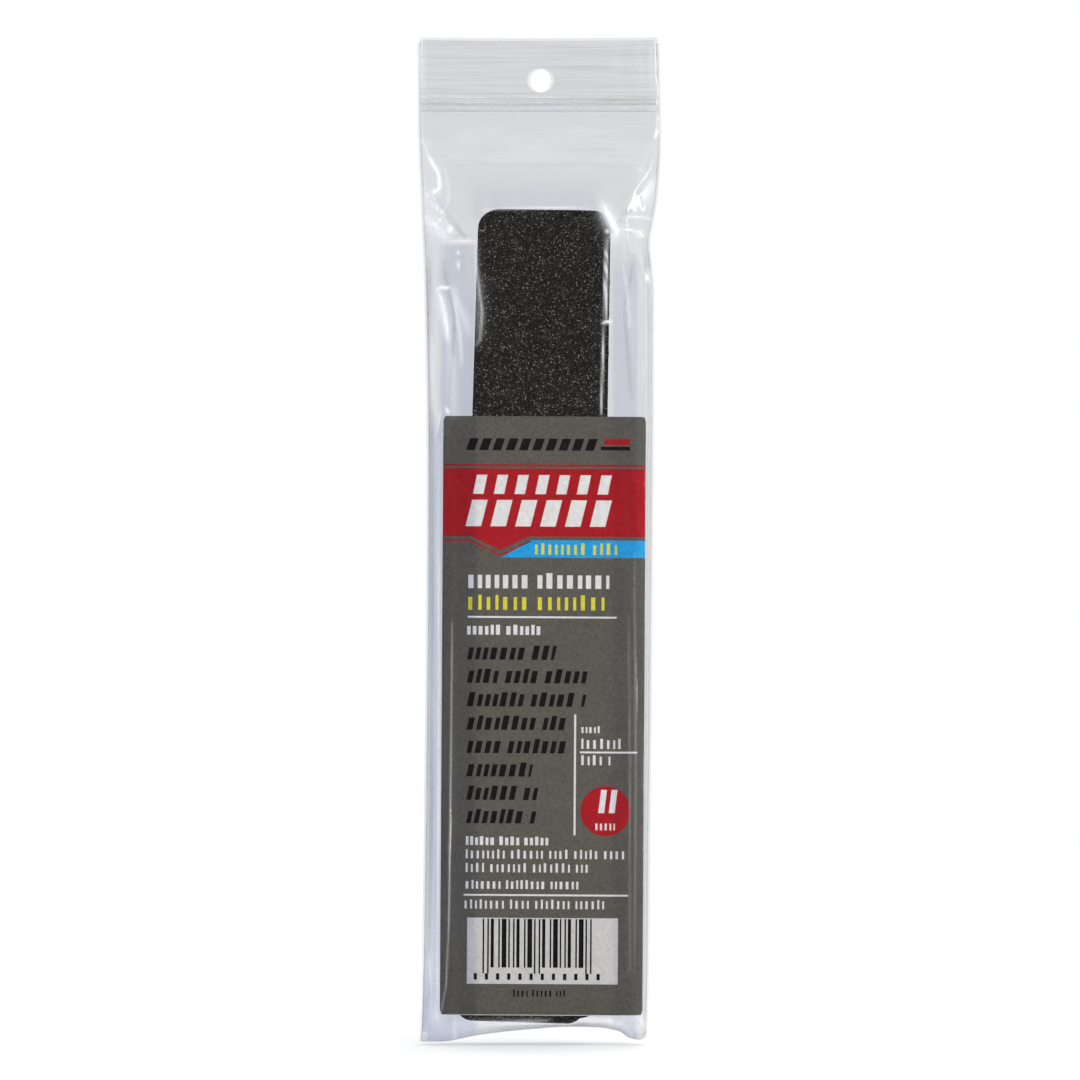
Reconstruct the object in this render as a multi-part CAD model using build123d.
from build123d import *
import os

# Two sanding sticks and a label card in a hanging press-to-close bag.
# Frame: X across the bag, -Y out of its front face, +Z up.
# The origin is the centre of the hang hole, in the bag's middle plane, where its side welds lie.
# All sizes are millimetres.

# ---- driving dimensions: bag ----
FILM = 0.1                # thickness of one film
BAG_TOP = 9.6             # rear lip's upper edge
BAG_BOTTOM = -211.9       # underside of the bottom fold
FRONT_LIP_DROP = 0.7      # the front lip ends this much lower than the rear lip
HEADER_HALF = 26.75       # half width of the header
POUCH_HALF = 25.35        # half width of the filled pouch, which draws the sides in
HEADER_FOOT = -9.0        # the sides begin to draw in here
WAIST_TOP = -46.0         # and reach the pouch's width here
CORNER_CUT = 0.4          # cut across the bag's bottom corners
HANG_HOLE_R = 2.65
LIP_GAP = 1.1             # between the inner faces of the two lips
WELD_WIDTH = 0.65
WELD_THICK = 0.3
FOLD_HEIGHT = 0.6
HINGE_Z = -19.0           # crease about which the front lip folds open
SLOPE_TOP = -7.5          # the films' slopes meet the lips here
POUCH_FOOT = -211.0       # where the pouch's bottom slope leaves the middle plane
FOOT_RISE = 2.8           # height of that slope
WALL_BASE_HALF = 24.55    # half width of the pouch at the middle plane, outside
WALL_TOP_HALF = 23.85     # half width of the pouch at its front and rear face, outside
MOUTH_GAP = 0.15          # room round the moving lip film
FRONT_SLACK = 0.3         # room between the card and the front film
REAR_SLACK = 0.25         # room between the rear stick and the rear film
FOLD_ROUND = 0.09         # rounding of the bottom fold

# ---- driving dimensions: zip ----
ZIP_Z = -5.15             # middle of the zip
ZIP_HEIGHT = 3.3
ZIP_BASE = 0.15           # thickness of both base strips
RIB_HEIGHT = 0.7
RIB_DEPTH = 0.7
CHANNEL_WALL = 0.55
CHANNEL_DEPTH = 0.65
CHANNEL_THROAT = 1.2      # between the channel's two walls

# ---- driving dimensions: sanding sticks ----
STICK_LENGTH = 178.0
STICK_WIDTH = 28.6
STICK_CORNER_R = 4.0
CORE = 0.8
GLUE = 0.05
FOAM = 1.1
BACKING = 0.2
GRIT = 0.2
STICK_THICK = CORE + 2 * (GLUE + FOAM + GLUE + BACKING + GRIT)
MIDDLE_GAP = 0.1          # between each stick and the bag's middle plane

# name, centre x, centre z, middle of its thickness in y, clockwise lean in degrees
STICKS = [
    ("front_stick", -1.65, -118.05, -(MIDDLE_GAP + STICK_THICK / 2), 1.7),
    ("rear_stick", 0.10, -117.35, MIDDLE_GAP + STICK_THICK / 2, 0.9),
]

# ---- driving dimensions: label card ----
CARD_WIDTH = 44.5
CARD_HEIGHT = 131.5
CARD_THICK = 0.35
CARD_X = 0.85             # centre
CARD_Z = -139.75          # centre
CARD_LEAN = 0.35          # degrees clockwise
CARD_CORNER_R = 1.0
CARD_GAP = 0.1            # card to front stick
CARD_FLAT_LEFT = -18.6    # the card lies flat from here
CARD_FLAT_RIGHT = 15.6    # to here, and bends back beyond
CARD_BEND_R = 42.0

# ---- blocks that cut or keep a whole region reach to here, clear of the bag ----
CLEAR_X = 30.0
CLEAR_Y = 10.0
CLEAR_TOP = 20.0
CLEAR_FOOT = -220.0
PAST_MIDDLE = 0.5         # the pouch's blocks run this far through the middle plane before they are trimmed

# ---- worked out ----
STICK_FRONT = MIDDLE_GAP + STICK_THICK
CARD_FRONT = STICK_FRONT + CARD_GAP + CARD_THICK
FRONT_BULGE = CARD_FRONT + FRONT_SLACK + FILM
REAR_BULGE = STICK_FRONT + REAR_SLACK + FILM
LIP_OUT = LIP_GAP / 2 + FILM


def slab(outline, y0, y1):
    """Solid of an outline given as (x, z) points or as a face, between two depths."""
    if not isinstance(outline, Face):
        outline = make_face(Plane.XZ * Polyline(*outline, close=True)).face()
    return Pos(0, y0, 0) * extrude(outline, amount=y1 - y0, dir=(0, 1, 0))


def band(half, low, high, y0, y1):
    """Rectangular slab of a given half width, between two heights and two depths."""
    return slab([(-half, low), (half, low), (half, high), (-half, high)], y0, y1)


def pouch_block(bulge, skin, side):
    """Solid inside the pouch film's outer face, or inside its inner face where skin is FILM.

    side is -1 for the front film and +1 for the rear. The section along X is cut by the section along Z,
    so the walls meet on mitred corners.
    """
    out = bulge - skin
    across = [
        (-WALL_BASE_HALF + skin, -PAST_MIDDLE),
        (-WALL_BASE_HALF + skin, 0),
        (-WALL_TOP_HALF + skin, out),
        (WALL_TOP_HALF - skin, out),
        (WALL_BASE_HALF - skin, 0),
        (WALL_BASE_HALF - skin, -PAST_MIDDLE),
    ]
    upright = [
        (-PAST_MIDDLE, POUCH_FOOT + skin),
        (0, POUCH_FOOT + skin),
        (out, POUCH_FOOT + FOOT_RISE + skin),
        (out, HINGE_Z),
        (LIP_OUT - skin, SLOPE_TOP),
        (-PAST_MIDDLE, SLOPE_TOP),
    ]
    column = extrude(make_face(Polyline(*[(x, side * y) for x, y in across], close=True)), amount=CLEAR_FOOT)
    profile = make_face(Plane.YZ * Polyline(*[(side * y, z) for y, z in upright], close=True))
    prism = Pos(-CLEAR_X, 0, 0) * extrude(profile, amount=2 * CLEAR_X, dir=(1, 0, 0))
    return column & prism


def pouch_film(bulge, side):
    """Hollow shell of one film over the pouch, open at the middle plane and at its top."""
    own_side = band(CLEAR_X, CLEAR_FOOT, SLOPE_TOP, *sorted((0, side * CLEAR_Y)))
    return (pouch_block(bulge, 0, side) - pouch_block(bulge, FILM, side)) & own_side


def brim(side):
    """Flat film between the pouch and the side welds, with the pouch's mouth cut out."""
    right = [
        (HEADER_HALF - WELD_WIDTH, SLOPE_TOP),
        (HEADER_HALF - WELD_WIDTH, HEADER_FOOT),
        (POUCH_HALF - WELD_WIDTH, WAIST_TOP),
        (POUCH_HALF - WELD_WIDTH, BAG_BOTTOM + FOLD_HEIGHT),
    ]
    outline = right + [(-x, z) for x, z in reversed(right)]
    mouth = band(WALL_BASE_HALF - FILM, POUCH_FOOT + FILM, SLOPE_TOP, -CLEAR_Y, CLEAR_Y)
    return slab(outline, *sorted((0, side * FILM))) - mouth


def hang_hole():
    """Round punch through both lips."""
    return Rot(90, 0, 0) * Cylinder(HANG_HOLE_R, 2 * CLEAR_Y)


def rear_film():
    """Rear film: brim, pouch shell, and the lip with its side returns."""
    half = HEADER_HALF - WELD_WIDTH
    outside = band(half, SLOPE_TOP, BAG_TOP, 0, LIP_OUT)
    inside = band(half - FILM, CLEAR_FOOT, CLEAR_TOP, -CLEAR_Y, LIP_OUT - FILM)
    return brim(1) + pouch_film(REAR_BULGE, 1) + (outside - inside - hang_hole())


def front_film():
    """Front film over the pouch, up to the crease, with narrow strips beside the mouth."""
    above = band(CLEAR_X, HINGE_Z, CLEAR_TOP, -CLEAR_Y, CLEAR_Y)
    return brim(-1) + (pouch_film(FRONT_BULGE, -1) - above)


def front_lip_film():
    """Front film above the crease: the slope over the sticks' tops and the flat lip."""
    below = band(CLEAR_X, CLEAR_FOOT, HINGE_Z + MOUTH_GAP, -CLEAR_Y, CLEAR_Y)
    behind = band(CLEAR_X, CLEAR_FOOT, CLEAR_TOP, -2 * MOUTH_GAP, CLEAR_Y)
    half = HEADER_HALF - WELD_WIDTH - 2 * MOUTH_GAP
    lip = band(half, SLOPE_TOP, BAG_TOP - FRONT_LIP_DROP, -LIP_OUT, -LIP_OUT + FILM)
    return (pouch_film(FRONT_BULGE, -1) - below - behind) + lip - hang_hole()


def side_weld(side):
    """Bead that joins the two films down one side."""
    outer = [
        (HEADER_HALF, BAG_TOP),
        (HEADER_HALF, HEADER_FOOT),
        (POUCH_HALF, WAIST_TOP),
        (POUCH_HALF, BAG_BOTTOM + CORNER_CUT),
        (POUCH_HALF - CORNER_CUT, BAG_BOTTOM),
    ]
    inner = [(x - WELD_WIDTH, z) for x, z in outer[:3]] + [(POUCH_HALF - WELD_WIDTH, BAG_BOTTOM)]
    outline = [(side * x, z) for x, z in outer + inner[::-1]]
    return slab(outline, -WELD_THICK / 2, WELD_THICK / 2)


def bottom_fold():
    """Rounded fold where the front film runs on into the rear film."""
    half = POUCH_HALF - WELD_WIDTH
    fold = band(half, BAG_BOTTOM, BAG_BOTTOM + FOLD_HEIGHT, -FILM, FILM)
    return fillet(fold.edges().filter_by(Axis.X).group_by(Axis.Z)[0], FOLD_ROUND)


def zip_strip(y0, y1, z, height, half):
    """Long straight strip of the zip, between two depths."""
    return band(half, z - height / 2, z + height / 2, y0, y1)


def zip_channel():
    """Grooved half of the zip, on the rear lip."""
    back = LIP_GAP / 2
    half = HEADER_HALF - WELD_WIDTH - FILM
    channel = zip_strip(back - ZIP_BASE, back, ZIP_Z, ZIP_HEIGHT, half)
    offset = (CHANNEL_THROAT + CHANNEL_WALL) / 2
    for z in (ZIP_Z - offset, ZIP_Z + offset):
        channel += zip_strip(back - ZIP_BASE - CHANNEL_DEPTH, back - ZIP_BASE, z, CHANNEL_WALL, half)
    return channel


def zip_rib():
    """Ribbed half of the zip, on the front lip, which presses into the channel."""
    back = -LIP_GAP / 2
    half = HEADER_HALF - WELD_WIDTH - 3 * MOUTH_GAP
    strip = zip_strip(back, back + ZIP_BASE, ZIP_Z, ZIP_HEIGHT, half)
    return strip + zip_strip(back + ZIP_BASE, back + ZIP_BASE + RIB_DEPTH, ZIP_Z, RIB_HEIGHT, half)


def stick_layers():
    """One stick's layers as name, thickness and distance of their rear face from the stick's rear face."""
    half = [("grit", GRIT), ("backing", BACKING), ("glue", GLUE), ("foam", FOAM), ("core_glue", GLUE)]
    layers = [(f"rear_{name}", thick) for name, thick in half]
    layers += [("core", CORE)]
    layers += [(f"front_{name}", thick) for name, thick in reversed(half)]
    placed = []
    start = 0
    for name, thick in layers:
        placed.append((name, thick, start))
        start += thick
    return placed


def stick(x, z, y, lean):
    """Layers of one sanding stick, rear to front, leaning clockwise as seen from the front."""
    face = (Plane.XZ * RectangleRounded(STICK_WIDTH, STICK_LENGTH, STICK_CORNER_R)).face()
    solids = {}
    for name, thick, start in stick_layers():
        rear = STICK_THICK / 2 - start
        layer = slab(face, rear - thick, rear)
        solids[name] = Pos(x, y, z) * Rot(0, lean, 0) * layer
    return solids


def label_card():
    """Card that lies flat over the sticks and bends back where it stands out beside them."""
    middle = -(CARD_FRONT - CARD_THICK / 2)
    left = CARD_FLAT_LEFT - CARD_X
    right = CARD_FLAT_RIGHT - CARD_X
    flat = slab([(left, -CARD_HEIGHT), (right, -CARD_HEIGHT), (right, CARD_HEIGHT), (left, CARD_HEIGHT)],
                middle - CARD_THICK / 2, middle + CARD_THICK / 2)
    sheet = flat
    for start, reach in ((left, -CARD_WIDTH), (right, CARD_WIDTH)):
        ring = Cylinder(CARD_BEND_R + CARD_THICK / 2, 2 * CARD_HEIGHT)
        ring -= Cylinder(CARD_BEND_R - CARD_THICK / 2, 2 * CARD_HEIGHT)
        ring = Pos(start, middle + CARD_BEND_R, 0) * ring
        edges = sorted((start, start + reach))
        quarter = Pos(sum(edges) / 2, middle + CARD_BEND_R / 4, 0)
        ring &= quarter * Box(edges[1] - edges[0], CARD_BEND_R / 2 + 2 * CARD_THICK, 2 * CARD_HEIGHT)
        sheet += ring
    outline = Plane.XZ * RectangleRounded(CARD_WIDTH, CARD_HEIGHT, CARD_CORNER_R)
    card = sheet & (Pos(0, -CLEAR_Y, 0) * extrude(outline, amount=2 * CLEAR_Y, dir=(0, 1, 0)))
    return Pos(CARD_X, 0, CARD_Z) * Rot(0, CARD_LEAN, 0) * card


parts = {
    "rear_film": rear_film(),
    "front_film": front_film(),
    "front_lip_film": front_lip_film(),
    "zip_channel": zip_channel(),
    "zip_rib": zip_rib(),
    "left_side_weld": side_weld(-1),
    "right_side_weld": side_weld(1),
    "bottom_fold": bottom_fold(),
    "label_card": label_card(),
}
for stick_name, x, z, y, lean in STICKS:
    for layer_name, solid in stick(x, z, y, lean).items():
        parts[f"{stick_name}_{layer_name}"] = solid

os.makedirs("parts", exist_ok=True)
for node, solid in parts.items():
    export_step(solid, f"parts/{node}.step")
